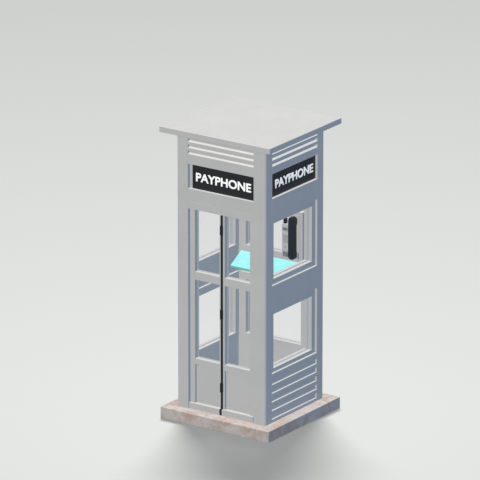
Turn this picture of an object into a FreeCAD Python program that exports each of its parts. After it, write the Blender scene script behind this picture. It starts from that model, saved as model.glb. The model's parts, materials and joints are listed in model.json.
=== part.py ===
"""Telephone booth: framed cabin on a stone slab, with a folding door, a shelf and a wall telephone.

Millimetres, +Z up. The origin is the middle of the slab's underside and the door faces -Y.
"""
import FreeCAD, Part
import os

Vector = FreeCAD.Vector

# ---------------------------------------------------------------- driving sizes
body_width = 900.0
body_depth = 876.0
wall_height = 2429.0
wall_thickness = 80.0

slab_overhang_x = 104.0
slab_overhang_y = 97.0
slab_thickness = 100.0
slab_edge_radius = 3.0

roof_overhang_x = 108.0
roof_overhang_y = 92.0
roof_thickness = 49.0
roof_edge_radius = 2.0

post_x = 117.0
post_y = 104.0
post_corner_radius = 25.0

# walls: heights above the slab
vent_panel_top = 433.0
lower_window_top = 1010.0
mid_rail_top = 1210.0
upper_window_top = 1794.0
groove_count = 5
groove_first = 27.5
groove_pitch = 77.0
groove_height = 44.0
groove_depth = 16.0

# window frames
frame_recess = 20.0
frame_inner_depth = 100.0
frame_stile = 50.0
lower_frame_sill = 35.0
lower_frame_head = 64.0
upper_frame_sill = 47.0
upper_frame_head = 51.0
pane_thickness = 6.0
pane_depth = 60.0
pane_gap = 0.5

# upper panels: louvres and sign
louvre_count = 3
louvre_first = 2254.0
louvre_pitch = 53.0
louvre_height = 28.0
louvre_depth = 24.0
louvre_rise = 7.0
sign_height = 210.0
sign_thickness = 8.0
sign_recess = 20.0
sign_left_margin = 33.0
sign_gap = 0.5
sign_clearance = 2.5
side_sign_bottom = 1976.0
front_sign_bottom = 1955.0

# door opening and leaves, depths behind the front plane
door_head = 1777.0
lip_thickness = 8.0
header_bottom = 1840.0
leaf_top = 1820.0
leaf_bottom = 6.0
leaf_recess = 20.0
leaf_back = 79.0
kick_rail_top = 58.0
kick_panel_top = 403.0
sill_rail_top = 454.0
waist_rail_bottom = 1153.0
waist_rail_top = 1224.0
kick_panel_recess = 20.0
kick_panel_thickness = 12.0
outer_stile = 50.0
left_meeting_stile = 10.0
right_meeting_stile = 18.0
seal_width = 11.5
seam_x = -3.0
seam_half_gap = 0.5
jamb_gap = 6.0
kick_jamb_gap = 6.0
lock_bevel = 11.0

# door hardware
pivot_depth = 55.0
heel_radius = 24.0
pin_radius = 6.0
running_fit = 0.05
pin_reach = 25.0
pin_flange_radius = 20.0
pin_flange_height = 4.0
track_height = 14.0
track_slot = 22.0
track_front_bar = 14.0
track_back_bar = 13.0
roller_radius = 10.0
roller_gap = 1.0
guide_stem_radius = 5.0
hinge_heights = (250.0, 900.0, 1640.0)
knuckle_radius = 5.5
hinge_pin_radius = 2.5
knuckle_length = 26.0
knuckle_gap = 0.4
hinge_plate = 4.0
hinge_web = 5.0
hinge_plate_width = 14.0
seam_clearance = 0.6

# shelf
shelf_top = 1190.0
shelf_thickness = 19.0
shelf_depth = 386.0
shelf_back_inset = 25.0
shelf_front_inset = 183.0
bracket_thickness = 6.0
bracket_reach = 220.0
bracket_drop = 150.0
bracket_spots = (-120.0, 250.0)

# ceiling lamp
lamp_length = 320.0
lamp_width = 140.0
lamp_height = 40.0
lamp_radius = 12.0

# telephone
phone_left = 123.0
phone_width = 210.0
phone_bottom = 1225.0
phone_shoulder = 1533.0
phone_top = 1665.0
phone_depth = 50.0
phone_shoulder_width = 68.0
phone_edge_radius = 5.0
handset_x = 259.0
handset_bottom = 1252.0
handset_length = 375.0
handset_width = 66.0
handset_thickness = 56.0
handset_grip_recess = 10.0
handset_cap = 72.0
handset_standoff = 8.0
handset_edge_radius = 10.0
handset_end_radius = 31.0
cradle_thickness = 4.0
cradle_margin = 6.0
cheek_thickness = 5.0
cheek_gap = 2.0
cheek_reach = 22.0
cheek_height = 60.0
hook_width = 20.0
hook_thickness = 6.0
hook_reach = 12.0
hook_gap = 0.3
barrel_radius = 4.5
hook_pin_radius = 2.0
lug_thickness = 4.0
lug_gap = 0.3
key_size = 13.0
key_pitch_x = 17.0
key_pitch_z = 18.0
key_proud = 4.0
key_inside = 5.0
key_travel = 3.0
key_gap = 0.4
key_spare = 0.5
key_radius = 1.5
keypad_x = 156.0
keypad_z = 1404.0
display_width = 46.0
display_height = 24.0
display_thickness = 3.0
display_z = 1490.0
reject_radius = 6.0
reject_z = 1330.0
coin_block_width = 26.0
coin_block_depth = 30.0
coin_block_height = 44.0
coin_block_radius = 3.0
coin_slot_width = 3.4
coin_slot_length = 24.0
coin_slot_depth = 36.0
coin_block_x = 141.0
cup_width = 62.0
cup_height = 50.0
cup_depth = 38.0
cup_wall = 3.0
cup_gap = 0.3
cup_z = 1243.0
cup_x = 164.0
flap_thickness = 2.5
flap_gap = 1.2
flap_barrel_radius = 2.6
flap_pin_radius = 1.2

# ---------------------------------------------------------------- worked-out sizes
ground = slab_thickness
front_length = body_width - 2 * post_x
side_length = body_depth - 2 * post_y
back_inside = body_depth / 2 - wall_thickness
right_inside = body_width / 2 - wall_thickness
SIDES = {
    "front": (0, body_depth / 2, front_length),
    "right": (90, body_width / 2, side_length),
    "back": (180, body_depth / 2, front_length),
    "left": (270, body_width / 2, side_length),
}
jamb_x = front_length / 2
pivot_x = -jamb_x + jamb_gap + heel_radius
guide_x = 2 * seam_x - pivot_x
phone_back = body_depth / 2 - frame_inner_depth
phone_front = phone_back - phone_depth


# ---------------------------------------------------------------- small tools
def block(x0, x1, y0, y1, z0, z1):
    return Part.makeBox(x1 - x0, y1 - y0, z1 - z0, Vector(x0, y0, z0))


def rod(radius, start, end):
    axis = end - start
    return Part.makeCylinder(radius, axis.Length, start, axis)


def prism(points, sweep):
    outline = Part.makePolygon(points + [points[0]])
    return Part.Face(outline).extrude(sweep)


def prism_z(points, z0, z1):
    return prism([Vector(x, y, z0) for x, y in points], Vector(0, 0, z1 - z0))


def prism_x(points, x0, x1):
    return prism([Vector(x0, y, z) for y, z in points], Vector(x1 - x0, 0, 0))


def prism_y(points, y0, y1):
    return prism([Vector(x, y0, z) for x, z in points], Vector(0, y1 - y0, 0))


def group(solids):
    return Part.makeCompound(solids)


def edges_along(shape, direction):
    found = []
    for edge in shape.Edges:
        if not isinstance(edge.Curve, Part.Line):
            continue
        if abs(abs(edge.tangentAt(edge.FirstParameter).dot(direction)) - 1) < 1e-6:
            found.append(edge)
    return found


def raised(shape):
    """Heights above the slab become heights above the ground."""
    shape.translate(Vector(0, 0, ground))
    return shape


def on_side(shape, side):
    """A wall piece is drawn with its outer face on y = 0 and its depth along +y, then set on its side."""
    angle, half_size, _ = SIDES[side]
    shape.translate(Vector(0, -half_size, 0))
    shape.rotate(Vector(0, 0, 0), Vector(0, 0, 1), angle)
    return raised(shape)


def save(node, shape):
    if not shape.isValid():
        raise ValueError(node + " is not a valid shape")
    shape.exportStep("parts/" + node + ".step")


# ---------------------------------------------------------------- slab, posts, roof
def base_slab():
    half_x = body_width / 2 + slab_overhang_x
    half_y = body_depth / 2 + slab_overhang_y
    slab = block(-half_x, half_x, -half_y, half_y, 0, slab_thickness)
    return slab.makeFillet(slab_edge_radius, edges_along(slab, Vector(0, 0, 1)))


def corner_post(side_x, side_y):
    """An L-shaped post: its two legs are as thick as the walls, and its outer corner is rounded."""
    x_out = body_width / 2
    y_out = body_depth / 2
    post = block(x_out - post_x, x_out, y_out - post_y, y_out, 0, wall_height)
    corner = [e for e in edges_along(post, Vector(0, 0, 1))
              if e.CenterOfMass.x > x_out - 1 and e.CenterOfMass.y > y_out - 1]
    post = post.makeFillet(post_corner_radius, corner)
    notch = block(x_out - post_x - 1, x_out - wall_thickness,
                  y_out - post_y - 1, y_out - wall_thickness, -1, wall_height + 1)
    post = post.cut(notch)
    if side_x < 0:
        post = post.mirror(Vector(0, 0, 0), Vector(1, 0, 0))
    if side_y < 0:
        post = post.mirror(Vector(0, 0, 0), Vector(0, 1, 0))
    return raised(post)


def roof():
    half_x = body_width / 2 + roof_overhang_x
    half_y = body_depth / 2 + roof_overhang_y
    slab = block(-half_x, half_x, -half_y, half_y, wall_height, wall_height + roof_thickness)
    return raised(slab.makeFillet(roof_edge_radius, slab.Edges))


def ceiling_lamp():
    lamp = block(-lamp_length / 2, lamp_length / 2, -lamp_width / 2, lamp_width / 2,
                 wall_height - lamp_height, wall_height)
    lamp = lamp.makeFillet(lamp_radius, edges_along(lamp, Vector(0, 0, 1)))
    return raised(lamp)


# ---------------------------------------------------------------- walls
def upper_panel(side, bottom, sign_bottom):
    """Pressed panel with three louvre slots and, below them, the recess that holds the sign."""
    length = SIDES[side][2]
    half = length / 2
    panel = block(-half, half, 0, wall_thickness, bottom, wall_height)
    recess_depth = sign_recess + sign_thickness
    panel = panel.cut(block(-half - 1, half + 1, -1, recess_depth,
                            sign_bottom - sign_clearance, sign_bottom + sign_height + sign_clearance))
    for index in range(louvre_count):
        z = louvre_first + index * louvre_pitch
        slot = [(-1, z), (0, z), (louvre_depth, z + louvre_rise),
                (louvre_depth, z + louvre_height), (-1, z + louvre_height)]
        panel = panel.cut(prism_x(slot, -half - 1, half + 1))
    return panel


def sign_panel(side, sign_bottom):
    half = SIDES[side][2] / 2
    panel = block(-half + sign_left_margin, half - sign_gap, sign_recess, sign_recess + sign_thickness,
                  sign_bottom, sign_bottom + sign_height)
    return on_side(panel, side)


def sign_panels():
    bottoms = {"front": front_sign_bottom, "right": side_sign_bottom,
               "back": side_sign_bottom, "left": side_sign_bottom}
    return group([sign_panel(side, bottom) for side, bottom in bottoms.items()])


def mid_rail(side):
    half = SIDES[side][2] / 2
    return on_side(block(-half, half, 0, wall_thickness, lower_window_top, mid_rail_top), side)


def vent_panel(side):
    half = SIDES[side][2] / 2
    panel = block(-half, half, 0, wall_thickness, 0, vent_panel_top)
    for index in range(groove_count):
        z = groove_first + index * groove_pitch
        panel = panel.cut(block(-half - 1, half + 1, -1, groove_depth, z, z + groove_height))
    return on_side(panel, side)


def frame_members(length, bottom, top, sill, head):
    """Four straight members round one window."""
    half = length / 2
    near = frame_recess
    far = frame_inner_depth
    return [
        block(-half, half, near, far, bottom, bottom + sill),
        block(-half, half, near, far, top - head, top),
        block(-half, -half + frame_stile, near, far, bottom + sill, top - head),
        block(half - frame_stile, half, near, far, bottom + sill, top - head),
    ]


def window_frames(side):
    length = SIDES[side][2]
    lower = frame_members(length, vent_panel_top, lower_window_top, lower_frame_sill, lower_frame_head)
    upper = frame_members(length, mid_rail_top, upper_window_top, upper_frame_sill, upper_frame_head)
    return on_side(group(lower + upper), side)


def pane(x0, x1, z0, z1, depth):
    return block(x0 + pane_gap, x1 - pane_gap, depth - pane_thickness / 2, depth + pane_thickness / 2,
                 z0 + pane_gap, z1 - pane_gap)


def window_panes(side):
    half = SIDES[side][2] / 2 - frame_stile
    lower = pane(-half, half, vent_panel_top + lower_frame_sill, lower_window_top - lower_frame_head, pane_depth)
    upper = pane(-half, half, mid_rail_top + upper_frame_sill, upper_window_top - upper_frame_head, pane_depth)
    return on_side(group([lower, upper]), side)


def front_header():
    """The front's upper panel, with a thin lip that hides the tops of the door leaves."""
    panel = upper_panel("front", header_bottom, front_sign_bottom)
    lip = block(-jamb_x, jamb_x, 0, lip_thickness, door_head, header_bottom)
    return on_side(group([panel, lip]), "front")


# ---------------------------------------------------------------- door hardware on the booth
def door_track():
    """Two bars under the header, with the slot for the guide roller between them."""
    bottom = header_bottom - track_height
    slot_front = pivot_depth - track_slot / 2
    slot_back = pivot_depth + track_slot / 2
    front_bar = block(-jamb_x, jamb_x, slot_front - track_front_bar, slot_front, bottom, header_bottom)
    back_bar = block(-jamb_x, jamb_x, slot_back, slot_back + track_back_bar, bottom, header_bottom)
    return on_side(group([front_bar, back_bar]), "front")


def door_pivot_pins():
    """The fixed pins, one standing on the slab and one hanging from the header."""
    floor_point = Vector(pivot_x, pivot_depth, 0)
    flange = rod(pin_flange_radius, floor_point, floor_point + Vector(0, 0, pin_flange_height))
    lower = rod(pin_radius, floor_point, floor_point + Vector(0, 0, leaf_bottom + pin_reach))
    upper = rod(pin_radius, Vector(pivot_x, pivot_depth, leaf_top - pin_reach),
                Vector(pivot_x, pivot_depth, header_bottom))
    return on_side(group([flange.fuse(lower).removeSplitter(), upper]), "front")


# ---------------------------------------------------------------- door leaves
def rails(x0, x1):
    """The four rails of a leaf, between its stiles."""
    heights = [(leaf_bottom, kick_rail_top), (kick_panel_top, sill_rail_top),
               (waist_rail_bottom, waist_rail_top), (door_head, leaf_top)]
    return [block(x0, x1, leaf_recess, leaf_back, low, high) for low, high in heights]


def heel_stile():
    """The left leaf's outer stile: its heel is round about the pivot pin, which it is bored for."""
    x0 = pivot_x - heel_radius
    x1 = x0 + outer_stile
    stile = block(x0, x1, leaf_recess, leaf_back, leaf_bottom, leaf_top)
    waste = block(x0 - 1, pivot_x, pivot_depth, leaf_back + 1, leaf_bottom - 1, leaf_top + 1)
    heel = rod(heel_radius, Vector(pivot_x, pivot_depth, leaf_bottom - 2),
               Vector(pivot_x, pivot_depth, leaf_top + 2))
    stile = stile.cut(waste.cut(heel))
    bore_radius = pin_radius + running_fit
    for low, high in ((leaf_bottom - 1, leaf_bottom + pin_reach + 1), (leaf_top - pin_reach - 1, leaf_top + 1)):
        stile = stile.cut(rod(bore_radius, Vector(pivot_x, pivot_depth, low), Vector(pivot_x, pivot_depth, high)))
    return stile


def lock_stile():
    """The right leaf's outer stile, bevelled so that its back edge clears the jamb."""
    x1 = jamb_x - jamb_gap
    x0 = x1 - outer_stile + jamb_gap
    outline = [(x0, leaf_recess), (x1, leaf_recess), (x1 - lock_bevel, leaf_back), (x0, leaf_back)]
    return prism_z(outline, leaf_bottom, leaf_top)


def leaf_layout(hand):
    """The x positions of a leaf: outer stile's inner face, meeting stile's faces, seal's faces."""
    if hand == "left":
        seal_edge = seam_x - seam_half_gap
        stile_edge = seal_edge - seal_width
        outer_face = pivot_x - heel_radius + outer_stile
        return outer_face, stile_edge - left_meeting_stile, stile_edge, seal_edge
    seal_edge = seam_x + seam_half_gap
    stile_edge = seal_edge + seal_width
    outer_face = jamb_x - outer_stile
    return outer_face, stile_edge + right_meeting_stile, stile_edge, seal_edge


def leaf_frame(hand):
    outer_face, light_edge, stile_edge, _ = leaf_layout(hand)
    low_x, high_x = sorted((outer_face, light_edge))
    outer = heel_stile() if hand == "left" else lock_stile()
    stile_x = sorted((light_edge, stile_edge))
    meeting = block(stile_x[0], stile_x[1], leaf_recess, leaf_back, leaf_bottom, leaf_top)
    kick_end = -jamb_x + kick_jamb_gap if hand == "left" else jamb_x - kick_jamb_gap
    kick_x = sorted((kick_end, stile_edge))
    kick_front = block(kick_x[0], kick_x[1], 0, leaf_recess, leaf_bottom, kick_rail_top)
    return on_side(group([outer, meeting, kick_front] + rails(low_x, high_x)), "front")


def leaf_panes(hand):
    outer_face, light_edge, _, _ = leaf_layout(hand)
    low_x, high_x = sorted((outer_face, light_edge))
    lower = pane(low_x, high_x, sill_rail_top, waist_rail_bottom, pane_depth)
    upper = pane(low_x, high_x, waist_rail_top, door_head, pane_depth)
    return on_side(group([lower, upper]), "front")


def leaf_kick_panel(hand):
    outer_face, light_edge, _, _ = leaf_layout(hand)
    low_x, high_x = sorted((outer_face, light_edge))
    near = leaf_recess + kick_panel_recess
    return on_side(block(low_x, high_x, near, near + kick_panel_thickness, kick_rail_top, kick_panel_top), "front")


def leaf_seal(hand):
    """The black meeting seal: it steps forward with the kick rail at its foot."""
    _, _, stile_edge, seal_edge = leaf_layout(hand)
    x0, x1 = sorted((stile_edge, seal_edge))
    tall = block(x0, x1, leaf_recess, leaf_back, leaf_bottom, leaf_top)
    foot = block(x0, x1, 0, leaf_recess, leaf_bottom, kick_rail_top)
    return on_side(group([tall.fuse(foot).removeSplitter()]), "front")


def hinge_half(hand, middle):
    """Half of an offset butt hinge. The left half has two knuckles and the pin, the right half one knuckle."""
    side = -1 if hand == "left" else 1
    near_face = seam_x + side * seam_clearance
    total = 3 * knuckle_length + 2 * knuckle_gap
    bottom = middle - total / 2
    plate_x = sorted((near_face, near_face + side * hinge_plate_width))
    web_x = sorted((near_face, near_face + side * hinge_web))
    half = block(plate_x[0], plate_x[1], leaf_recess - hinge_plate, leaf_recess, bottom, bottom + total)
    places = (0, 2) if hand == "left" else (1,)
    for place in places:
        low = bottom + place * (knuckle_length + knuckle_gap)
        high = low + knuckle_length
        half = half.fuse(block(web_x[0], web_x[1], 0, leaf_recess, low, high))
        half = half.fuse(rod(knuckle_radius, Vector(seam_x, 0, low), Vector(seam_x, 0, high)))
    if hand == "left":
        half = half.fuse(rod(hinge_pin_radius, Vector(seam_x, 0, bottom), Vector(seam_x, 0, bottom + total)))
    else:
        bore = rod(hinge_pin_radius + running_fit, Vector(seam_x, 0, bottom), Vector(seam_x, 0, bottom + total))
        half = half.cut(bore)
    return half.removeSplitter()


def leaf_hinges(hand):
    return on_side(group([hinge_half(hand, height) for height in hinge_heights]), "front")


def guide_roller():
    """A stem standing on the right leaf, with the roller that runs in the track's slot."""
    foot = Vector(guide_x, pivot_depth, leaf_top)
    roller_bottom = header_bottom - track_height + roller_gap
    roller_top = header_bottom - 2 * roller_gap
    stem = rod(guide_stem_radius, foot, Vector(guide_x, pivot_depth, roller_top))
    roller = rod(roller_radius, Vector(guide_x, pivot_depth, roller_bottom),
                 Vector(guide_x, pivot_depth, roller_top))
    return on_side(stem.fuse(roller).removeSplitter(), "front")


# ---------------------------------------------------------------- shelf
def shelf():
    back = back_inside
    front = back - shelf_depth
    outline = [(-right_inside + shelf_back_inset, back), (-right_inside + shelf_front_inset, front),
               (right_inside, front), (right_inside, back)]
    return raised(prism_z(outline, shelf_top - shelf_thickness, shelf_top))


def shelf_brackets():
    under = shelf_top - shelf_thickness
    outline = [(back_inside, under), (back_inside - bracket_reach, under), (back_inside, under - bracket_drop)]
    half = bracket_thickness / 2
    return raised(group([prism_x(outline, x - half, x + half) for x in bracket_spots]))


# ---------------------------------------------------------------- telephone
def key_places():
    names = ["key_1", "key_2", "key_3", "key_4", "key_5", "key_6",
             "key_7", "key_8", "key_9", "key_star", "key_0", "key_hash"]
    places = []
    for index, name in enumerate(names):
        x = keypad_x + (index % 3 - 1) * key_pitch_x
        z = keypad_z + (1.5 - index // 3) * key_pitch_z
        places.append((name, x, z))
    return places


def phone_housing():
    """Stepped casing, with a guide pocket for each key and the button, and a pocket for the coin return."""
    right = phone_left + phone_width
    step = phone_left + phone_shoulder_width
    outline = [(phone_left, phone_bottom), (right, phone_bottom), (right, phone_top), (step, phone_top),
               (step, phone_shoulder), (phone_left, phone_shoulder)]
    casing = prism_y(outline, phone_front, phone_back)
    casing = casing.makeFillet(phone_edge_radius, edges_along(casing, Vector(0, 1, 0)))
    key_half = key_size / 2 + key_gap
    pocket_end = phone_front + key_inside + key_travel + key_spare
    for _, x, z in key_places():
        casing = casing.cut(block(x - key_half, x + key_half, phone_front - 1, pocket_end,
                                  z - key_half, z + key_half))
    casing = casing.cut(rod(reject_radius + key_gap, Vector(keypad_x, phone_front - 1, reject_z),
                            Vector(keypad_x, pocket_end, reject_z)))
    cup_half = cup_width / 2 + cup_gap
    casing = casing.cut(block(cup_x - cup_half, cup_x + cup_half, phone_front - 1,
                              phone_front + cup_depth + cup_gap,
                              cup_z - cup_gap, cup_z + cup_height + cup_gap))
    return raised(casing)


def key_cap(x, z):
    half = key_size / 2
    cap = block(x - half, x + half, phone_front - key_proud, phone_front + key_inside, z - half, z + half)
    front_edges = [e for e in cap.Edges if e.CenterOfMass.y < phone_front - key_proud + 1e-6]
    return raised(cap.makeFillet(key_radius, front_edges))


def reject_button():
    start = Vector(keypad_x, phone_front - key_proud, reject_z)
    return raised(rod(reject_radius, start, start + Vector(0, key_proud + key_inside, 0)))


def display():
    half = display_width / 2
    return raised(block(keypad_x - half, keypad_x + half, phone_front - display_thickness, phone_front,
                        display_z - display_height / 2, display_z + display_height / 2))


def coin_slot():
    """The block on the telephone's shoulder, with the slot that coins drop into."""
    half = coin_block_width / 2
    middle = (phone_front + phone_back) / 2
    top = phone_shoulder + coin_block_height
    body = block(coin_block_x - half, coin_block_x + half, middle - coin_block_depth / 2,
                 middle + coin_block_depth / 2, phone_shoulder, top)
    body = body.makeFillet(coin_block_radius, edges_along(body, Vector(0, 0, 1)))
    slot = block(coin_block_x - coin_slot_width / 2, coin_block_x + coin_slot_width / 2,
                 middle - coin_slot_length / 2, middle + coin_slot_length / 2, top - coin_slot_depth, top + 1)
    return raised(body.cut(slot))


def cup_hinge():
    """The flap's pin runs along X, under the cup's roof."""
    z = cup_z + cup_height - cup_wall - flap_barrel_radius - flap_gap
    y = phone_front + cup_wall + flap_barrel_radius
    return y, z


def coin_return_cup():
    """An open-fronted cup with the flap's pin across its mouth."""
    half = cup_width / 2
    cup = block(cup_x - half, cup_x + half, phone_front, phone_front + cup_depth, cup_z, cup_z + cup_height)
    hollow = block(cup_x - half + cup_wall, cup_x + half - cup_wall, phone_front - 1,
                   phone_front + cup_depth - cup_wall, cup_z + cup_wall, cup_z + cup_height - cup_wall)
    y, z = cup_hinge()
    pin = rod(flap_pin_radius, Vector(cup_x - half + cup_wall / 2, y, z), Vector(cup_x + half - cup_wall / 2, y, z))
    return raised(cup.cut(hollow).fuse(pin).removeSplitter())


def return_flap():
    half = cup_width / 2 - cup_wall - flap_gap
    y, z = cup_hinge()
    bottom = cup_z + cup_wall + flap_gap
    plate = block(cup_x - half, cup_x + half, y - flap_barrel_radius, y - flap_barrel_radius + flap_thickness,
                  bottom, z)
    barrel = rod(flap_barrel_radius, Vector(cup_x - half, y, z), Vector(cup_x + half, y, z))
    bore = rod(flap_pin_radius + running_fit, Vector(cup_x - half - 1, y, z), Vector(cup_x + half + 1, y, z))
    return raised(plate.fuse(barrel).cut(bore).removeSplitter())


def hook_axis():
    """The hook lever's pin: the lever's top is just under the flank of the ear cap."""
    flank = handset_bottom + handset_length - handset_cap
    z = flank - hook_gap - hook_thickness / 2
    y = phone_front - cradle_thickness - barrel_radius - lug_gap
    return y, z


def handset_cradle():
    """Back plate behind the handset, with two cheeks beside its mouthpiece and two lugs for the hook."""
    half = handset_width / 2 + cheek_gap + cheek_thickness
    near = phone_front - cradle_thickness
    plate = block(handset_x - half, handset_x + half, near, phone_front,
                  handset_bottom - cradle_margin, handset_bottom + handset_length + cradle_margin)
    for side in (-1, 1):
        inner = handset_x + side * (handset_width / 2 + cheek_gap)
        x0, x1 = sorted((inner, inner + side * cheek_thickness))
        plate = plate.fuse(block(x0, x1, near - cheek_reach, near, handset_bottom, handset_bottom + cheek_height))
    y, z = hook_axis()
    for side in (-1, 1):
        inner = handset_x + side * (hook_width / 2 + lug_gap)
        x0, x1 = sorted((inner, inner + side * lug_thickness))
        lug = block(x0, x1, y - barrel_radius, near, z - barrel_radius, z + hook_thickness / 2)
        plate = plate.fuse(lug)
    reach = hook_width / 2 + lug_gap + lug_thickness / 2
    pin = rod(hook_pin_radius, Vector(handset_x - reach, y, z), Vector(handset_x + reach, y, z))
    return raised(plate.fuse(pin).removeSplitter())


def hook_lever():
    y, z = hook_axis()
    half = hook_width / 2
    tongue = block(handset_x - half, handset_x + half, y - hook_reach, y,
                   z - hook_thickness / 2, z + hook_thickness / 2)
    barrel = rod(hook_thickness / 2, Vector(handset_x - half, y, z), Vector(handset_x + half, y, z))
    bore = rod(hook_pin_radius + running_fit, Vector(handset_x - half - 1, y, z),
               Vector(handset_x + half + 1, y, z))
    return raised(tongue.fuse(barrel).cut(bore).removeSplitter())


def handset():
    """Grip with an ear cap and a mouth cap, three solids that meet face to face."""
    half = handset_width / 2
    back = phone_front - cradle_thickness - handset_standoff
    front = back - handset_thickness
    low = handset_bottom
    top = low + handset_length
    solids = []
    grip_back = back - handset_grip_recess
    grip = block(handset_x - half, handset_x + half, front, grip_back, low + handset_cap, top - handset_cap)
    solids.append(grip.makeFillet(handset_edge_radius, edges_along(grip, Vector(0, 0, 1))))
    for start, end, rounded_z in ((low, low + handset_cap, low), (top - handset_cap, top, top)):
        cap = block(handset_x - half, handset_x + half, front, back, start, end)
        corner = [e for e in edges_along(cap, Vector(0, 1, 0)) if abs(e.CenterOfMass.z - rounded_z) < 1e-6]
        cap = cap.makeFillet(handset_end_radius, corner)
        solids.append(cap.makeFillet(handset_edge_radius, edges_along(cap, Vector(0, 0, 1))))
    return raised(group(solids))


# ---------------------------------------------------------------- build
def build():
    os.makedirs("parts", exist_ok=True)
    save("base_slab", base_slab())
    for name, side_x, side_y in (("front_left", -1, -1), ("front_right", 1, -1),
                                 ("back_left", -1, 1), ("back_right", 1, 1)):
        save("corner_post_" + name, corner_post(side_x, side_y))
    save("roof", roof())
    save("ceiling_lamp", ceiling_lamp())
    for side in ("right", "back", "left"):
        save("upper_panel_" + side, on_side(upper_panel(side, upper_window_top, side_sign_bottom), side))
        save("mid_rail_" + side, mid_rail(side))
        save("vent_panel_" + side, vent_panel(side))
        save("window_frames_" + side, window_frames(side))
        save("window_panes_" + side, window_panes(side))
    save("sign_panels", sign_panels())
    save("front_header", front_header())
    save("door_track", door_track())
    save("door_pivot_pins", door_pivot_pins())
    for hand in ("left", "right"):
        save(hand + "_leaf_frame", leaf_frame(hand))
        save(hand + "_leaf_panes", leaf_panes(hand))
        save(hand + "_leaf_kick_panel", leaf_kick_panel(hand))
        save(hand + "_leaf_seal", leaf_seal(hand))
        save(hand + "_leaf_hinges", leaf_hinges(hand))
    save("guide_roller", guide_roller())
    save("shelf", shelf())
    save("shelf_brackets", shelf_brackets())
    save("phone_housing", phone_housing())
    save("handset_cradle", handset_cradle())
    save("display", display())
    save("coin_slot", coin_slot())
    save("coin_return_cup", coin_return_cup())
    save("return_flap", return_flap())
    save("reject_button", reject_button())
    save("hook_lever", hook_lever())
    save("handset", handset())
    for name, x, z in key_places():
        save(name, key_cap(x, z))


build()
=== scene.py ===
"""Looks of the telephone booth: paint, stone, glass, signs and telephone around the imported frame."""

import json
import math

import bmesh
import bpy
from mathutils import Matrix, Vector


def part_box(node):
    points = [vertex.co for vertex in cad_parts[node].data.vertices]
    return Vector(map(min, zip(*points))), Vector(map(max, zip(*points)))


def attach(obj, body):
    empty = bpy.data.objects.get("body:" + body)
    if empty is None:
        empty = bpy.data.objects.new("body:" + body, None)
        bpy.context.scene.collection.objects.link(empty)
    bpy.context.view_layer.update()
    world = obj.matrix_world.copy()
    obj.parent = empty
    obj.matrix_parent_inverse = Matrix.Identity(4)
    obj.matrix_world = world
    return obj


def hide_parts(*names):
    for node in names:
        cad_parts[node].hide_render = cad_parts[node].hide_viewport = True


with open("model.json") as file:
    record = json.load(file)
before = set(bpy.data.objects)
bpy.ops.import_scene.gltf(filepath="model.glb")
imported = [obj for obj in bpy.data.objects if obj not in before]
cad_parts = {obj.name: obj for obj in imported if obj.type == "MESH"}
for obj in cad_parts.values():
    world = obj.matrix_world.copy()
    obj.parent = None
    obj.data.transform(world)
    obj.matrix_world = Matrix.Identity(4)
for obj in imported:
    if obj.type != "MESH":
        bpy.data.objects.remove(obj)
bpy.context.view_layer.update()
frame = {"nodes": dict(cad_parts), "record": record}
MM = 0.001
SLOT_OF = {row["node"]: row["material_slot"] for row in frame["record"]["subparts"]}
BODY_OF = {node: body for body, nodes in frame["record"]["behaviour"]["bodies"].items() for node in nodes}


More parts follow.
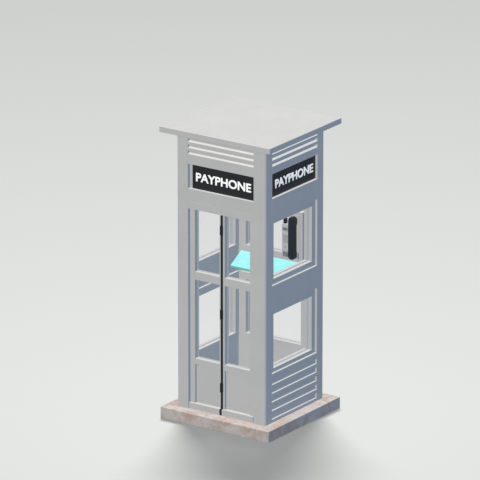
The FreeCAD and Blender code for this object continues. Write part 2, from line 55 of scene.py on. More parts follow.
# ---------------------------------------------------------------- shader building
class Shader:
    """A material's node tree, with short calls for the nodes that every finish uses."""

    def __init__(self, name, roughness, metallic=0.0, **constants):
        self.material = bpy.data.materials.new(name)
        self.material.use_nodes = True
        self.tree = self.material.node_tree
        self.bsdf = self.tree.nodes["Principled BSDF"]
        self.bsdf.inputs["Roughness"].default_value = roughness
        self.bsdf.inputs["Metallic"].default_value = metallic
        for socket, value in constants.items():
            self.bsdf.inputs[socket.replace("_", " ")].default_value = value
        self.place = self.add("ShaderNodeTexCoord").outputs["Object"]

    def add(self, kind, **settings):
        node = self.tree.nodes.new(kind)
        for name, value in settings.items():
            setattr(node, name, value)
        return node

    def feed(self, value, socket):
        """Links a socket, or sets a plain number or colour."""
        if isinstance(value, bpy.types.NodeSocket):
            self.tree.links.new(value, socket)
        elif isinstance(value, tuple):
            socket.default_value = (*value, 1.0)
        else:
            socket.default_value = value

    def stretched(self, scale):
        mapping = self.add("ShaderNodeMapping")
        mapping.inputs["Scale"].default_value = scale
        self.feed(self.place, mapping.inputs["Vector"])
        return mapping.outputs["Vector"]

    def noise(self, scale, detail=4.0, roughness=0.55, distortion=0.0, stretch=None):
        node = self.add("ShaderNodeTexNoise")
        for name, value in (("Scale", scale), ("Detail", detail), ("Roughness", roughness),
                            ("Distortion", distortion)):
            node.inputs[name].default_value = value
        self.feed(self.stretched(stretch) if stretch else self.place, node.inputs["Vector"])
        return node.outputs["Fac"]

    def ramp(self, source, stops):
        node = self.add("ShaderNodeValToRGB")
        elements = node.color_ramp.elements
        while len(elements) < len(stops):
            elements.new(0.5)
        for element, (position, colour) in zip(elements, stops):
            element.position = position
            element.color = (*colour, 1.0)
        self.feed(source, node.inputs["Fac"])
        return node.outputs["Color"]

    def span(self, source, low, high, start=0.3, end=0.7):
        """Maps the source's start..end to low..high, clamped."""
        node = self.add("ShaderNodeMapRange")
        for name, value in (("From Min", start), ("From Max", end), ("To Min", low), ("To Max", high)):
            node.inputs[name].default_value = value
        self.feed(source, node.inputs["Value"])
        return node.outputs["Result"]

    def mix(self, factor, first, second):
        node = self.add("ShaderNodeMix", data_type="RGBA")
        colours = [socket for socket in node.inputs if socket.type == "RGBA"]
        self.feed(factor, node.inputs[0])
        self.feed(first, colours[0])
        self.feed(second, colours[1])
        return next(socket for socket in node.outputs if socket.type == "RGBA")

    def times(self, first, second):
        node = self.add("ShaderNodeMath", operation="MULTIPLY")
        self.feed(first, node.inputs[0])
        self.feed(second, node.inputs[1])
        return node.outputs["Value"]

    def height(self):
        split = self.add("ShaderNodeSeparateXYZ")
        self.feed(self.place, split.inputs["Vector"])
        return split.outputs["Z"]

    def bump(self, source, distance, strength):
        node = self.add("ShaderNodeBump")
        node.inputs["Distance"].default_value = distance
        node.inputs["Strength"].default_value = strength
        self.feed(source, node.inputs["Height"])
        self.feed(node.outputs["Normal"], self.bsdf.inputs["Normal"])

    def colour(self, source):
        self.feed(source, self.bsdf.inputs["Base Color"])

    def gloss(self, source):
        self.feed(source, self.bsdf.inputs["Roughness"])


def shade(base, factor):
    """A colour made darker or lighter by a factor."""
    return tuple(min(1.0, channel * factor) for channel in base)


def paint(name, base, streaks=1.0, dust=1.0):
    """Satin paint on sheet metal: soft mottling, run-off streaks and road dust near the slab."""
    shader = Shader(name, roughness=0.45)
    dusty = (base[0] * 0.80, base[1] * 0.76, base[2] * 0.70)
    cloud = shader.noise(scale=3.0, detail=5.0)
    mottled = shader.ramp(cloud, [(0.30, shade(base, 0.965)), (0.70, shade(base, 1.025))])
    run_off = shader.noise(scale=2.0, detail=6.0, roughness=0.65, stretch=(14.0, 14.0, 0.7))
    streak = shader.span(run_off, low=0.0, high=0.14 * streaks, start=0.52, end=0.75)
    streaked = shader.mix(streak, mottled, dusty)
    low_down = shader.span(shader.height(), low=0.34 * dust, high=0.0, start=0.10, end=0.36)
    fleck = shader.noise(scale=38.0, detail=6.0, roughness=0.7)
    speckle = shader.span(fleck, low=0.1, high=1.0, start=0.42, end=0.66)
    shader.colour(shader.mix(shader.times(low_down, speckle), streaked, dusty))
    shader.gloss(shader.span(shader.noise(scale=24.0, detail=4.0), low=0.36, high=0.56))
    shader.bump(shader.noise(scale=420.0, detail=2.0), distance=0.0002, strength=0.35)
    return shader.material


def stone(name):
    """Pinkish honed stone: pale ground, rose and brown clouds, veins, dark and pale grains."""
    shader = Shader(name, roughness=0.5)
    ground = shader.ramp(shader.noise(scale=2.2, detail=6.0, roughness=0.6, distortion=1.4),
                         [(0.28, (0.46, 0.40, 0.375)), (0.44, (0.55, 0.51, 0.49)),
                          (0.58, (0.61, 0.565, 0.54)), (0.74, (0.52, 0.40, 0.365))])
    cloud = shader.noise(scale=4.0, detail=5.0, roughness=0.6, distortion=2.0)
    rosy = shader.mix(shader.span(cloud, low=0.0, high=0.75, start=0.48, end=0.62), ground,
                      (0.50, 0.34, 0.28))
    vein = shader.noise(scale=3.2, detail=7.0, roughness=0.7, distortion=3.0, stretch=(1.0, 0.6, 1.6))
    along_vein = shader.ramp(vein, [(0.47, (0.0, 0.0, 0.0)), (0.50, (0.42, 0.42, 0.42)),
                                    (0.53, (0.0, 0.0, 0.0))])
    veined = shader.mix(along_vein, rosy, (0.36, 0.30, 0.28))
    pale_grain = shader.span(shader.noise(scale=90.0, detail=3.0), low=0.0, high=0.4, start=0.58, end=0.70)
    pale = shader.mix(pale_grain, veined, (0.78, 0.75, 0.72))
    dark_grain = shader.span(shader.noise(scale=150.0, detail=2.0), low=0.0, high=0.45, start=0.62, end=0.72)
    shader.colour(shader.mix(dark_grain, pale, (0.24, 0.20, 0.18)))
    shader.gloss(shader.span(shader.noise(scale=60.0, detail=3.0), low=0.34, high=0.58))
    shader.bump(shader.noise(scale=220.0, detail=3.0), distance=0.0004, strength=0.4)
    return shader.material


def glazing(name):
    """Very clear glass with faint wiping marks."""
    shader = Shader(name, roughness=0.04, Alpha=0.035)
    wiped = shader.noise(scale=5.0, detail=6.0, roughness=0.7, stretch=(1.0, 1.0, 0.5))
    shader.colour(shader.ramp(wiped, [(0.35, (0.86, 0.95, 0.94)), (0.70, (0.95, 0.98, 0.97))]))
    shader.gloss(shader.span(shader.noise(scale=9.0, detail=5.0), low=0.02, high=0.12))
    return shader.material


def moulded(name, base, roughness, grain=600.0, depth=0.00015, wear=0.25, **constants):
    """Moulded plastic or rubber: fine grain and slightly worn patches."""
    shader = Shader(name, roughness, **constants)
    worn = tuple(min(1.0, channel * 1.35 + 0.012) for channel in base)
    patch = shader.noise(scale=22.0, detail=6.0, roughness=0.7)
    shader.colour(shader.mix(shader.span(patch, low=0.0, high=wear, start=0.50, end=0.72), base, worn))
    shader.gloss(shader.span(shader.noise(scale=50.0, detail=4.0), low=roughness * 0.8,
                             high=min(1.0, roughness * 1.25)))
    shader.bump(shader.noise(scale=grain, detail=2.0), distance=depth, strength=0.5)
    return shader.material


def metal(name, base, roughness, brush):
    """Brushed metal: fine parallel scratches and dull spots."""
    shader = Shader(name, roughness, metallic=1.0)
    scratches = shader.noise(scale=30.0, detail=5.0, roughness=0.7, stretch=brush)
    shader.colour(shader.ramp(scratches, [(0.35, shade(base, 0.78)), (0.65, base)]))
    dull = shader.noise(scale=16.0, detail=5.0)
    shader.gloss(shader.span(dull, low=roughness * 0.75, high=roughness * 1.4))
    shader.bump(scratches, distance=0.0001, strength=0.4)
    return shader.material


def tinted(name, low, high, roughness):
    """Coloured shelf glass: slightly cloudy body, wiping marks in its gloss."""
    shader = Shader(name, roughness, Coat_Weight=0.3, Coat_Roughness=0.08)
    cloud = shader.noise(scale=4.0, detail=5.0, roughness=0.6, distortion=0.8)
    shader.colour(shader.ramp(cloud, [(0.30, low), (0.70, high)]))
    wiped = shader.noise(scale=30.0, detail=5.0)
    shader.gloss(shader.span(wiped, low=roughness * 0.8, high=roughness * 1.2))
    shader.bump(shader.noise(scale=6.0, detail=2.0), distance=0.0002, strength=0.2)
    return shader.material


ALONG_Z = (60.0, 60.0, 1.0)
ACROSS_Z = (1.0, 1.0, 60.0)
MATERIALS = {
    "grey_paint": paint("grey_paint", (0.60, 0.60, 0.59)),
    "stone": stone("stone"),
    "sign_black": moulded("sign_black", (0.022, 0.022, 0.023), 0.45, grain=300.0, depth=0.0001, wear=0.12),
    "clear_glass": glazing("clear_glass"),
    "black_rubber": moulded("black_rubber", (0.020, 0.020, 0.020), 0.75, grain=500.0, depth=0.0002,
                            wear=0.3),
    "black_steel": moulded("black_steel", (0.025, 0.025, 0.026), 0.45, grain=500.0, depth=0.0001,
                           wear=0.3),
    "bright_steel": metal("bright_steel", (0.66, 0.66, 0.68), 0.28, ACROSS_Z),
    "brushed_metal": metal("brushed_metal", (0.70, 0.71, 0.72), 0.38, ALONG_Z),
    "shelf_glass": tinted("shelf_glass", (0.31, 0.88, 0.88), (0.34, 0.93, 0.93), 0.30),
    # The shelf's side colour is darker than its top colour: partly the deeper tint of the glass's cut edge,
    # partly painted shade on the upright sides.
    "shelf_cut_edge_and_shade": tinted("shelf_cut_edge_and_shade", (0.12, 0.52, 0.47), (0.17, 0.62, 0.56), 0.22),
    "black_plastic": moulded("black_plastic", (0.007, 0.006, 0.005), 0.5, grain=700.0, depth=0.00012,
                             wear=0.05, Specular_IOR_Level=0.12),
    "phone_casing": paint("phone_casing", (0.60, 0.575, 0.575), streaks=0.2, dust=0.0),
    "display_glass": moulded("display_glass", (0.27, 0.285, 0.26), 0.14, grain=900.0, depth=0.00003,
                             wear=0.05, Coat_Weight=0.8),
    "key_plastic": moulded("key_plastic", (0.30, 0.295, 0.30), 0.5, grain=900.0, depth=0.0001, wear=0.3),
    "lamp_diffuser": moulded("lamp_diffuser", (0.85, 0.85, 0.83), 0.45, grain=500.0, depth=0.0001,
                             wear=0.1),
    # The white lettering gives off a little light (emission 0.35): a painted glow that keeps the letters
    # bright where they stand in shade.
    "white_letters_painted_glow": moulded("white_letters_painted_glow", (0.90, 0.90, 0.89), 0.4, grain=500.0, depth=0.00005,
                             wear=0.1, Emission_Color=(1.0, 1.0, 0.98, 1.0), Emission_Strength=0.35),
    "black_ink": moulded("black_ink", (0.03, 0.03, 0.032), 0.5, grain=900.0, depth=0.00003, wear=0.2),
    "grey_gasket": moulded("grey_gasket", (0.50, 0.50, 0.50), 0.7, grain=500.0, depth=0.0002, wear=0.3),
}


# ---------------------------------------------------------------- mesh tools
def piece(name, mesh, material, body):
    """Links a mesh as a named piece with its material, body and slot. It gives others no bounce light."""
    mesh.name = name
    mesh.materials.clear()
    mesh.materials.append(MATERIALS[material])
    item = bpy.data.objects.new(name, mesh)
    bpy.context.collection.objects.link(item)
    item.visible_diffuse = False
    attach(item, body)
    return item


SHARP = math.radians(40)
FACES_BY_AREA = 100


def rounded(item, width):
    """Softly rounded sharp edges, shaded so that the flat faces stay flat."""
    for polygon in item.data.polygons:
        polygon.use_smooth = True
    bevel = item.modifiers.new("rounding", "BEVEL")
    bevel.width = width
    bevel.segments = 2
    bevel.limit_method = "ANGLE"
    bevel.angle_limit = SHARP
    flat = item.modifiers.new("flat_faces", "WEIGHTED_NORMAL")
    flat.weight = FACES_BY_AREA
    flat.keep_sharp = True


def connected(start, neighbours, seen):
    """Everything that can be reached from start, in order."""
    seen.add(start)
    reached = [start]
    for item in reached:
        for other in neighbours(item):
            if other not in seen:
                seen.add(other)
                reached.append(other)
    return reached


def beside(vertex):
    """The vertices at the other ends of a vertex's edges."""
    return [edge.other_vert(vertex) for edge in vertex.link_edges]


def across(face):
    """The faces beyond a face's edges, but not past an edge where two solids touch."""
    return [other for edge in face.edges if len(edge.link_faces) == 2 for other in edge.link_faces]


SAME_POINT = 0.01 * MM
SAME_PLANE = math.radians(1.0)


def merged(node):
    """A CAD node's mesh as a bmesh: its solids apart, and their triangles joined into flat faces."""
    built = bmesh.new()
    built.from_mesh(frame["nodes"][node].data)
    bmesh.ops.remove_doubles(built, verts=built.verts, dist=SAME_POINT)
    seen = set()
    groups = [connected(face, across, seen) for face in list(built.faces) if face not in seen]
    for group in groups[1:]:
        bmesh.ops.split(built, geom=group)
    bmesh.ops.dissolve_limit(built, angle_limit=SAME_PLANE, verts=built.verts, edges=built.edges)
    return built


def extent(points):
    """The lowest and highest corners of some vertices."""
    low = Vector([min(point.co[axis] for point in points) for axis in range(3)])
    high = Vector([max(point.co[axis] for point in points) for axis in range(3)])
    return low, high


def solids_of(node):
    """The lowest and highest corners of each separate solid of a node."""
    built = merged(node)
    seen = set()
    boxes = []
    for vertex in built.verts:
        if vertex not in seen:
            boxes.append(extent(connected(vertex, beside, seen)))
    built.free()
    return sorted(boxes, key=lambda pair: tuple(pair[0]))


def thin_axis(low, high):
    """The level axis, 0 or 1, across which an upright plate is thinner."""
    size = high - low
    return min(range(2), key=lambda axis: size[axis])


def corners_of(node):
    """A node's lowest and highest corners at rest."""
    return tuple(Vector(corner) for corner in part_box(node))


def block(built, low, high):
    """Adds a box between two corners."""
    middle = (Vector(low) + Vector(high)) / 2
    size = Vector(high) - Vector(low)
    place = Matrix.Translation(middle) @ Matrix.Diagonal((*size, 1.0))
    bmesh.ops.create_cube(built, size=1.0, matrix=place)


def to_mesh(built, name):
    """Turns a bmesh into a mesh, and frees it."""
    mesh = bpy.data.meshes.new(name)
    built.to_mesh(mesh)
    built.free()
    return mesh


# ---------------------------------------------------------------- CAD nodes, softly rounded
SMALL_EDGE = 0.4 * MM
PANEL_EDGE = 0.8 * MM
EDGES = {"base_slab": 5.0 * MM, "shelf": 2.0 * MM, "ceiling_lamp": 3.0 * MM}
SMALL_NODES = ("handset_cradle", "phone_housing", "display", "coin_slot", "coin_return_cup", "return_flap",
               "hook_lever", "reject_button", "left_leaf_hinges", "right_leaf_hinges", "guide_roller",
               "door_pivot_pins")
UPRIGHT_BELOW = 0.5


def dress(node):
    """A copy of a CAD node with rounded edges, which stands for the node."""
    item = piece(node + "_skin", to_mesh(merged(node), node), SLOT_OF[node], BODY_OF[node])
    rounded(item, EDGES.get(node, SMALL_EDGE if node in SMALL_NODES else PANEL_EDGE))
    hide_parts(node)
    return item


def dress_all():
    """Dresses every CAD node but the panes, which stay sharp, and the handset, which has its own mesh."""
    skins = {}
    for node, item in frame["nodes"].items():
        item.data.materials.clear()
        item.data.materials.append(MATERIALS[SLOT_OF[node]])
        if "panes" not in node and node != "handset":
            skins[node] = dress(node)
    return skins


def shelf_cut_edges_and_shade(skin):
    """The shelf's upright sides get a darker, greener copy of its glass: partly the deep colour of its cut
    edge, partly painted shade. Metal near it doesn't mirror it.
    """
    skin.visible_glossy = False
    skin.data.materials.append(MATERIALS["shelf_cut_edge_and_shade"])
    for polygon in skin.data.polygons:
        if abs(polygon.normal.z) < UPRIGHT_BELOW:
            polygon.material_index = 1


# ---------------------------------------------------------------- glazing gaskets
GASKET_WIDTH = 4.0 * MM
GASKET_PROUD = 3.0 * MM
GASKET_ROUNDING = 1.2 * MM


def gaskets(node):
    """A soft bead around both faces of each pane."""
    built = bmesh.new()
    for low, high in solids_of(node):
        thin = thin_axis(low, high)
        wide = 1 - thin
        for near, far in ((low[thin] - GASKET_PROUD, low[thin]), (high[thin], high[thin] + GASKET_PROUD)):
            for axis, other in ((wide, 2), (2, wide)):
                for at in (low[axis], high[axis] - GASKET_WIDTH):
                    first, last = low.copy(), high.copy()
                    first[thin], last[thin] = near, far
                    first[axis], last[axis] = at, at + GASKET_WIDTH
                    if axis == 2:
                        first[other] += GASKET_WIDTH
                        last[other] -= GASKET_WIDTH
                    block(built, first, last)
    item = piece(node.replace("panes", "gaskets"), to_mesh(built, node), "grey_gasket", BODY_OF[node])
    rounded(item, GASKET_ROUNDING)


# ---------------------------------------------------------------- lettering
CURVE_STEPS = 6


def written(name, text, size, weight, depth):
    """Lettering as a mesh of some depth, centred on the origin, in the XY plane, and its size."""
    curve = bpy.data.curves.new(name, "FONT")
    curve.body = text
    curve.size = size
    curve.offset = weight
    curve.extrude = depth / 2
    curve.align_x = "CENTER"
    curve.align_y = "CENTER"
    curve.resolution_u = CURVE_STEPS
    holder = bpy.data.objects.new(name, curve)
    bpy.context.collection.objects.link(holder)
    bpy.context.view_layer.update()
    mesh = bpy.data.meshes.new_from_object(holder)
    bpy.data.objects.remove(holder)
    low, high = extent(mesh.vertices)
    mesh.transform(Matrix.Translation(-(low + high) / 2))
    return mesh, high - low


def upright(spot, turn):
    """Stands flat lettering up at a spot, facing the side that the turn about Z gives."""
    return Matrix.Translation(spot) @ Matrix.Rotation(math.radians(turn), 4, "Z") @ Matrix.Rotation(
        math.radians(90), 4, "X")


SIGN_WORD = "PAYPHONE"
SIGN_WIDTH = 558.0 * MM
SIGN_CAP_HEIGHT = 76.0 * MM
SIGN_FONT_SIZE = 100.0 * MM
SIGN_FONT_WEIGHT = 2.4 * MM
LETTER_DEPTH = 3.0 * MM
SIGN_SCREW_INSET = 12.0 * MM
SIGN_SCREW_RADIUS = 3.5 * MM
SIDES = {(1, -1): ("front", 0), (0, 1): ("right", 90), (1, 1): ("back", 180), (0, -1): ("left", 270)}


def sign_sides():
    """Each sign panel's corners, the axis across it, which way along it the sign faces, and its face."""
    for low, high in solids_of("sign_panels"):
        axis = thin_axis(low, high)
        way = 1 if (low + high)[axis] > 0 else -1
        yield low, high, axis, way, (high if way > 0 else low)[axis]


def sign_lettering():
    """The same generic word in raised white letters on each of the four signs."""
    for low, high, axis, way, face in sign_sides():
        spot = (low + high) / 2
        spot[axis] = face + way * LETTER_DEPTH / 2
        mesh, size = written("sign_letters", SIGN_WORD, SIGN_FONT_SIZE, SIGN_FONT_WEIGHT, LETTER_DEPTH)
        stretch = Matrix.Diagonal((SIGN_WIDTH / size.x, SIGN_CAP_HEIGHT / size.y, 1.0, 1.0))
        side, turn = SIDES[(axis, way)]
        mesh.transform(upright(spot, turn) @ stretch)
        piece("sign_letters_" + side, mesh, "white_letters_painted_glow", "booth")


KEY_FONT_SIZE = 9.0 * MM
KEY_FONT_WEIGHT = 0.15 * MM
KEY_FIGURE_DEPTH = 0.3 * MM
FRONT_TURN = 0


def key_legends():
    """A white figure on each key cap, moving with its key."""
    marks = {"key_star": "*", "key_hash": "#"}
    for node in sorted(frame["nodes"]):
        if not node.startswith("key_"):
            continue
        low, high = corners_of(node)
        mark = marks.get(node, node[-1])
        mesh, _ = written(node, mark, KEY_FONT_SIZE, KEY_FONT_WEIGHT, KEY_FIGURE_DEPTH)
        spot = Vector(((low.x + high.x) / 2, low.y - KEY_FIGURE_DEPTH / 2, (low.z + high.z) / 2))
        mesh.transform(upright(spot, FRONT_TURN))
        piece(node + "_legend", mesh, "white_letters_painted_glow", BODY_OF[node])


# ---------------------------------------------------------------- fittings
SCREW_STEPS = 16
SCREW_PROFILE = ((1.0, 0.0), (1.0, 0.22), (0.86, 0.42), (0.55, 0.56))
CROSS_HALF_LENGTH = 0.36
CROSS_HALF_WIDTH = 0.08
CROSS_HALF_HEIGHT = 0.05


def screws(name, spots, facing, radius, material, body):
    """Pan-head screws with a raised cross, all facing one way. Their profile is in shares of the radius."""
    built = bmesh.new()
    turn = Vector(facing).to_track_quat("Z", "Y").to_matrix().to_4x4()
    angles = [2 * math.pi * step / SCREW_STEPS for step in range(SCREW_STEPS)]
    top = Vector((0, 0, SCREW_PROFILE[-1][1]))
    arms = (Vector((CROSS_HALF_LENGTH, CROSS_HALF_WIDTH, CROSS_HALF_HEIGHT)),
            Vector((CROSS_HALF_WIDTH, CROSS_HALF_LENGTH, CROSS_HALF_HEIGHT)))
    for spot in spots:
        place = Matrix.Translation(spot) @ turn @ Matrix.Scale(radius, 4)
        rings = [[built.verts.new(place @ Vector((share * math.cos(angle), share * math.sin(angle), rise)))
                  for angle in angles] for share, rise in SCREW_PROFILE]
        for inner, outer in zip(rings[1:], rings):
            for step in range(SCREW_STEPS):
                after = (step + 1) % SCREW_STEPS
                built.faces.new((outer[step], outer[after], inner[after], inner[step]))
        built.faces.new(rings[-1])
        built.faces.new(rings[0][::-1])
        for half in arms:
            bar = Matrix.Translation(top) @ Matrix.Diagonal((*(2 * half), 1.0))
            bmesh.ops.create_cube(built, size=1.0, matrix=place @ bar)
    item = piece(name, to_mesh(built, name), material, body)
    for polygon in item.data.polygons:
        polygon.use_smooth = len(polygon.vertices) == 4


def corners(low, high, axis, inset, at):
    """The four corners of a box's face across an axis, moved inwards."""
    first, second = [index for index in range(3) if index != axis]
    spots = []
    for u in (low[first] + inset, high[first] - inset):
        for v in (low[second] + inset, high[second] - inset):
            spot = Vector((0, 0, 0))
            spot[axis], spot[first], spot[second] = at, u, v
            spots.append(spot)
    return spots


KICK_SCREW_INSET = 16.0 * MM
KICK_SCREW_RADIUS = 4.0 * MM
PHONE_SCREW_INSET = 9.0 * MM
PHONE_SCREW_RADIUS = 3.0 * MM
TOWARDS_FRONT = (0, -1, 0)


def fittings():
    """Screws in the corners of the kick panels and signs, and in three corners of the telephone's casing."""
    for hand in ("left", "right"):
        node = hand + "_leaf_kick_panel"
        low, high = corners_of(node)
        screws(node + "_screws", corners(low, high, 1, KICK_SCREW_INSET, low.y), TOWARDS_FRONT,
               KICK_SCREW_RADIUS, "bright_steel", BODY_OF[node])
    for low, high, axis, way, face in sign_sides():
        facing = Vector((0, 0, 0))
        facing[axis] = way
        spots = corners(low, high, axis, SIGN_SCREW_INSET, face)
        screws("sign_screws_" + SIDES[(axis, way)][0], spots, facing, SIGN_SCREW_RADIUS, "black_steel",
               "booth")
    low, high = corners_of("phone_housing")
    bottom_left, _, bottom_right, top_right = corners(low, high, 1, PHONE_SCREW_INSET, low.y)
    screws("phone_screws", (bottom_left, bottom_right, top_right), TOWARDS_FRONT, PHONE_SCREW_RADIUS,
           "bright_steel", "booth")


def rim_bars(built, low, high, width, bottom, top, through):
    """Four bars round the outside of a rectangle, from bottom to top along the axis through it."""
    first, second = [axis for axis in range(3) if axis != through]
    outer_low, outer_high = low[second] - width, high[second] + width
    for u0, u1, v0, v1 in ((low[first] - width, low[first], outer_low, outer_high),
                           (high[first], high[first] + width, outer_low, outer_high),
                           (low[first], high[first], outer_low, low[second]),
                           (low[first], high[first], high[second], outer_high)):
        start, end = Vector((0, 0, 0)), Vector((0, 0, 0))
        start[through], start[first], start[second] = bottom, u0, v0
        end[through], end[first], end[second] = top, u1, v1
        block(built, start, end)


DISPLAY_TEXT = "0.00"
DISPLAY_FONT_SIZE = 15.0 * MM
DISPLAY_FONT_WEIGHT = 0.2 * MM
DISPLAY_FIGURE_DEPTH = 0.2 * MM
BEZEL_WIDTH = 3.0 * MM
BEZEL_PROUD = 1.2 * MM
BEZEL_ROUNDING = 0.6 * MM


def display_figures():
    """Dark liquid-crystal figures on the display's glass, and the bezel round it."""
    low, high = corners_of("display")
    mesh, _ = written("display_figures", DISPLAY_TEXT, DISPLAY_FONT_SIZE, DISPLAY_FONT_WEIGHT,
                      DISPLAY_FIGURE_DEPTH)
    middle = (low + high) / 2
    spot = Vector((middle.x, low.y - DISPLAY_FIGURE_DEPTH / 2, middle.z))
    mesh.transform(upright(spot, FRONT_TURN))
    piece("display_figures", mesh, "black_ink", "booth")
    built = bmesh.new()
    rim_bars(built, low, high, BEZEL_WIDTH, low.y - BEZEL_PROUD, high.y, through=1)
    rounded(piece("display_bezel", to_mesh(built, "display_bezel"), "key_plastic", "booth"),
            BEZEL_ROUNDING)


# ---------------------------------------------------------------- handset
HANDSET_CORNER = 31.0 * MM
HANDSET_EDGE = 10.0 * MM
HANDSET_CAP = 72.0 * MM
GRIP_RECESS = 10.0 * MM
RECESS_RUN = 16.0 * MM
CORNER_STEPS = 10
GRIP_STEPS = 120
EDGE_STEPS = 6
SEAM_DEPTH = 0.6 * MM
SEAM = ((0.0, -0.8 * MM), (SEAM_DEPTH, -0.4 * MM), (SEAM_DEPTH, 0.4 * MM), (0.0, 0.8 * MM))
HOLE_RINGS = ((0.0, 1), (9.0 * MM, 6), (17.0 * MM, 12))
HOLE_RADIUS = 1.8 * MM
HOLE_STEPS = 12
HOLE_CUTTER_LENGTH = 6.0 * MM
HANDSET_SHARP = math.radians(35)


def handset_outline(low, high, inset):
    """Half widths and heights up one side of the handset's outline, moved inwards."""
    radius = HANDSET_CORNER - inset
    reach = (high.x - low.x) / 2 - HANDSET_CORNER
    lower = low.z + HANDSET_CORNER
    upper = high.z - HANDSET_CORNER
    turns = [math.pi / 2 * step / CORNER_STEPS for step in range(CORNER_STEPS + 1)]
    foot = [(reach + radius * math.sin(turn), lower - radius * math.cos(turn)) for turn in turns]
    side = [(reach + radius, lower + (upper - lower) * step / GRIP_STEPS) for step in range(1, GRIP_STEPS)]
    head = [(reach + radius * math.cos(turn), upper + radius * math.sin(turn)) for turn in turns]
    return foot + side + head


def grip_recess(z, low, high):
    """How far the handset's back is set in at a height: not at its two ends, smoothly deeper at the grip."""
    from_end = min(z - low.z, high.z - z)
    share = min(1.0, max(0.0, 1.0 + (from_end - HANDSET_CAP) / RECESS_RUN))
    return GRIP_RECESS * share * share * (3.0 - 2.0 * share)


def handset_shell(low, high):
    """The handset as rings from front to back: rounded edges, a moulding seam round it, a recessed grip."""
    turns = [math.pi / 2 * step / EDGE_STEPS for step in range(EDGE_STEPS + 1)]
    rounding = [(HANDSET_EDGE * (1.0 - math.sin(turn)), HANDSET_EDGE * (1.0 - math.cos(turn)))
                for turn in turns]
    middle = (low.y + high.y) / 2
    rings = [(inset, low.y + depth, 0.0) for inset, depth in rounding]
    rings += [(inset, middle + depth, 0.0) for inset, depth in SEAM]
    rings += [(inset, high.y - depth, 1.0) for inset, depth in reversed(rounding)]
    centre = (low.x + high.x) / 2
    built = bmesh.new()
    loops = []
    for inset, y, recessed in rings:
        outline = handset_outline(low, high, inset)
        right, left = ([built.verts.new((centre + way * wide, y - recessed * grip_recess(z, low, high), z))
                        for wide, z in outline] for way in (1, -1))
        loops.append(right + left[::-1])
    for front, back in zip(loops, loops[1:]):
        for step in range(len(front)):
            built.faces.new((front[step - 1], front[step], back[step], back[step - 1]))
    for loop in (loops[0], loops[-1]):
        for step in range(len(loop) // 2 - 1):
            built.faces.new((loop[step], loop[step + 1], loop[-step - 2], loop[-step - 1]))
    bmesh.ops.recalc_face_normals(built, faces=built.faces)
    return built


def sound_holes(low, high):
    """Short rods that cut rings of holes into the back of the ear and mouth ends."""
    built = bmesh.new()
    for z in (low.z + HANDSET_CAP / 2, high.z - HANDSET_CAP / 2):
        for ring, count in HOLE_RINGS:
            for step in range(count):
                angle = 2 * math.pi * step / count
                spot = ((low.x + high.x) / 2 + ring * math.cos(angle), high.y, z + ring * math.sin(angle))
                place = Matrix.Translation(spot) @ Matrix.Rotation(math.radians(90), 4, "X")
                bmesh.ops.create_cone(built, cap_ends=True, segments=HOLE_STEPS, radius1=HOLE_RADIUS,
                                      radius2=HOLE_RADIUS, depth=HOLE_CUTTER_LENGTH, matrix=place)
    return built


def handset():
    """The handset's own mesh, which stands for its CAD node."""
    low, high = corners_of("handset")
    shell = to_mesh(handset_shell(low, high), "handset_skin")
    item = piece("handset_skin", shell, "black_plastic", "handset")
    cutter = bpy.data.objects.new("sound_holes", to_mesh(sound_holes(low, high), "sound_holes"))
    bpy.context.collection.objects.link(cutter)
    cut = item.modifiers.new("sound_holes", "BOOLEAN")
    cut.operation = "DIFFERENCE"
    cut.solver = "EXACT"
    cut.object = cutter
    bpy.context.view_layer.update()
    item.data = bpy.data.meshes.new_from_object(item.evaluated_get(bpy.context.evaluated_depsgraph_get()))
    item.modifiers.clear()
    bpy.data.objects.remove(cutter)
    for polygon in item.data.polygons:
        polygon.use_smooth = True
    item.data.set_sharp_from_angle(angle=HANDSET_SHARP)
    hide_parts("handset")


# ---------------------------------------------------------------- door seals and lamp
RIB_SHARES = (0.3, 0.7)
RIB_HALF_WIDTH = 1.2 * MM
RIB_PROUD = 1.2 * MM
RIB_ROUNDING = 0.5 * MM
SEAL_FACE_DEPTH = 20.0 * MM
RIB_FOOT = 56.0 * MM
RIB_HEAD = 2.0 * MM


def seal_ribs(hand):
    """Two fine ribs down the front of each meeting seal."""
    node = hand + "_leaf_seal"
    low, high = corners_of(node)
    face = low.y + SEAL_FACE_DEPTH
    built = bmesh.new()
    for share in RIB_SHARES:
        x = low.x + share * (high.x - low.x)
        block(built, (x - RIB_HALF_WIDTH, face - RIB_PROUD, low.z + RIB_FOOT),
              (x + RIB_HALF_WIDTH, face, high.z - RIB_HEAD))
    rounded(piece(hand + "_seal_ribs", to_mesh(built, node), "black_rubber", BODY_OF[node]),
            RIB_ROUNDING)


LAMP_TRIM_WIDTH = 8.0 * MM
LAMP_TRIM_HEIGHT = 14.0 * MM
LAMP_TRIM_ROUNDING = 2.0 * MM


def lamp_trim():
    """A thin metal frame round the lamp's diffuser."""
    low, high = corners_of("ceiling_lamp")
    built = bmesh.new()
    rim_bars(built, low, high, LAMP_TRIM_WIDTH, high.z - LAMP_TRIM_HEIGHT, high.z, through=2)
    rounded(piece("lamp_trim", to_mesh(built, "lamp_trim"), "brushed_metal", "booth"),
            LAMP_TRIM_ROUNDING)


shelf_cut_edges_and_shade(dress_all()["shelf"])
handset()
for name in sorted(frame["nodes"]):
    if "panes" in name:
        gaskets(name)
sign_lettering()
key_legends()
fittings()
display_figures()
seal_ribs("left")
seal_ribs("right")
lamp_trim()


# ---------------------------------------------------------------- floor, light, camera
FLOOR_REACH = 150.0
FLOOR_COLOUR = (0.62, 0.62, 0.595)
# The floor fades from the near colour to this darker one away from the booth: a painted falloff of light,
# not a tone of the floor.
FAR_FLOOR_PAINTED_SHADE = (0.47, 0.47, 0.455)
FADE_START = 1.5
FADE_END = 13.0


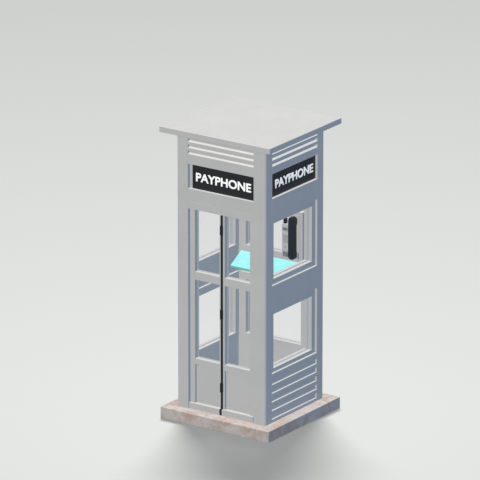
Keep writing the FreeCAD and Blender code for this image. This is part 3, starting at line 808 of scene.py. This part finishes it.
def floor():
    """A pale floor whose colour darkens slowly away from the booth, a painted falloff of light, and which
    throws no light back on it.
    """
    mesh = bpy.data.meshes.new("floor")
    corner_signs = ((-1, -1), (1, -1), (1, 1), (-1, 1))
    mesh.from_pydata([(x * FLOOR_REACH, y * FLOOR_REACH, 0) for x, y in corner_signs], [], [(0, 1, 2, 3)])
    plane = bpy.data.objects.new("floor", mesh)
    bpy.context.collection.objects.link(plane)
    shader = Shader("floor", roughness=0.95)
    away = shader.add("ShaderNodeVectorMath", operation="LENGTH")
    shader.feed(shader.place, away.inputs[0])
    fade = shader.span(away.outputs["Value"], low=0.0, high=1.0, start=FADE_START, end=FADE_END)
    shader.colour(shader.mix(fade, FLOOR_COLOUR, FAR_FLOOR_PAINTED_SHADE))
    mesh.materials.append(shader.material)
    plane.visible_diffuse = False
    plane.visible_glossy = False
    return plane


def linked(name, plane, state):
    """A collection that makes a lamp light only the floor, or all but the floor."""
    collection = bpy.data.collections.new(name)
    collection.objects.link(plane)
    collection.collection_objects[0].light_linking.link_state = state
    return collection


def sun(name, towards, strength, colour, angle, shadow, lit):
    """A sun whose light comes from the direction given."""
    lamp = bpy.data.lights.new(name, "SUN")
    lamp.energy = strength
    lamp.color = colour
    lamp.angle = math.radians(angle)
    lamp.use_shadow = shadow
    item = bpy.data.objects.new(name, lamp)
    item.rotation_euler = Vector(towards).to_track_quat("Z", "Y").to_euler()
    item.light_linking.receiver_collection = lit
    bpy.context.collection.objects.link(item)


WORLD_COLOUR = (0.82, 0.92, 1.0, 1.0)
WORLD_STRENGTH = 0.20


def lights(plane):
    """Even studio light: flat key from the front and above, cool side fills, soft shadow on the floor."""
    booth = linked("lit_booth", plane, "EXCLUDE")
    ground = linked("lit_floor", plane, "INCLUDE")
    sun("key", (0.0, -0.463, 0.886), 3.88, (1.0, 0.975, 0.95), angle=10, shadow=False, lit=booth)
    sun("fill_right", (1.0, -0.03, 0.0), 0.8, (0.40, 0.60, 1.0), angle=20, shadow=False, lit=booth)
    sun("fill_left", (-1.0, 0.2, 0.0), 1.25, (0.80, 0.90, 1.0), angle=20, shadow=True, lit=booth)
    sun("fill_back", (0.1, 1.0, 0.0), 1.25, (0.88, 0.94, 1.0), angle=20, shadow=True, lit=booth)
    sun("floor_key", (-0.32, 0.45, 0.83), 2.9, (1.0, 1.0, 1.0), angle=22, shadow=True, lit=ground)
    sun("floor_fill", (0.0, 0.0, 1.0), 1.05, (1.0, 1.0, 1.0), angle=10, shadow=False, lit=ground)
    world = bpy.data.worlds.new("studio")
    world.use_nodes = True
    background = world.node_tree.nodes["Background"]
    background.inputs["Color"].default_value = WORLD_COLOUR
    background.inputs["Strength"].default_value = WORLD_STRENGTH
    bpy.context.scene.world = world


CAMERA_PLACE = (30.631, -44.331, 19.327)
CAMERA_YAW = math.radians(34.737)
CAMERA_PITCH = math.radians(-18.267)
CAMERA_LENS = 506.9
SENSOR_WIDTH = 36.0
VIEW_DEPTH = 500.0


def camera():
    """A long lens far away, at the photograph's viewing angle."""
    data = bpy.data.cameras.new("camera")
    data.lens = CAMERA_LENS
    data.sensor_width = SENSOR_WIDTH
    data.clip_end = VIEW_DEPTH
    item = bpy.data.objects.new("camera", data)
    item.location = CAMERA_PLACE
    level = math.cos(CAMERA_PITCH)
    view = Vector((-math.sin(CAMERA_YAW) * level, math.cos(CAMERA_YAW) * level, math.sin(CAMERA_PITCH)))
    item.rotation_euler = view.to_track_quat("-Z", "Y").to_euler()
    bpy.context.collection.objects.link(item)
    bpy.context.scene.camera = item


lights(floor())
camera()
bpy.context.scene.view_settings.view_transform = "Standard"
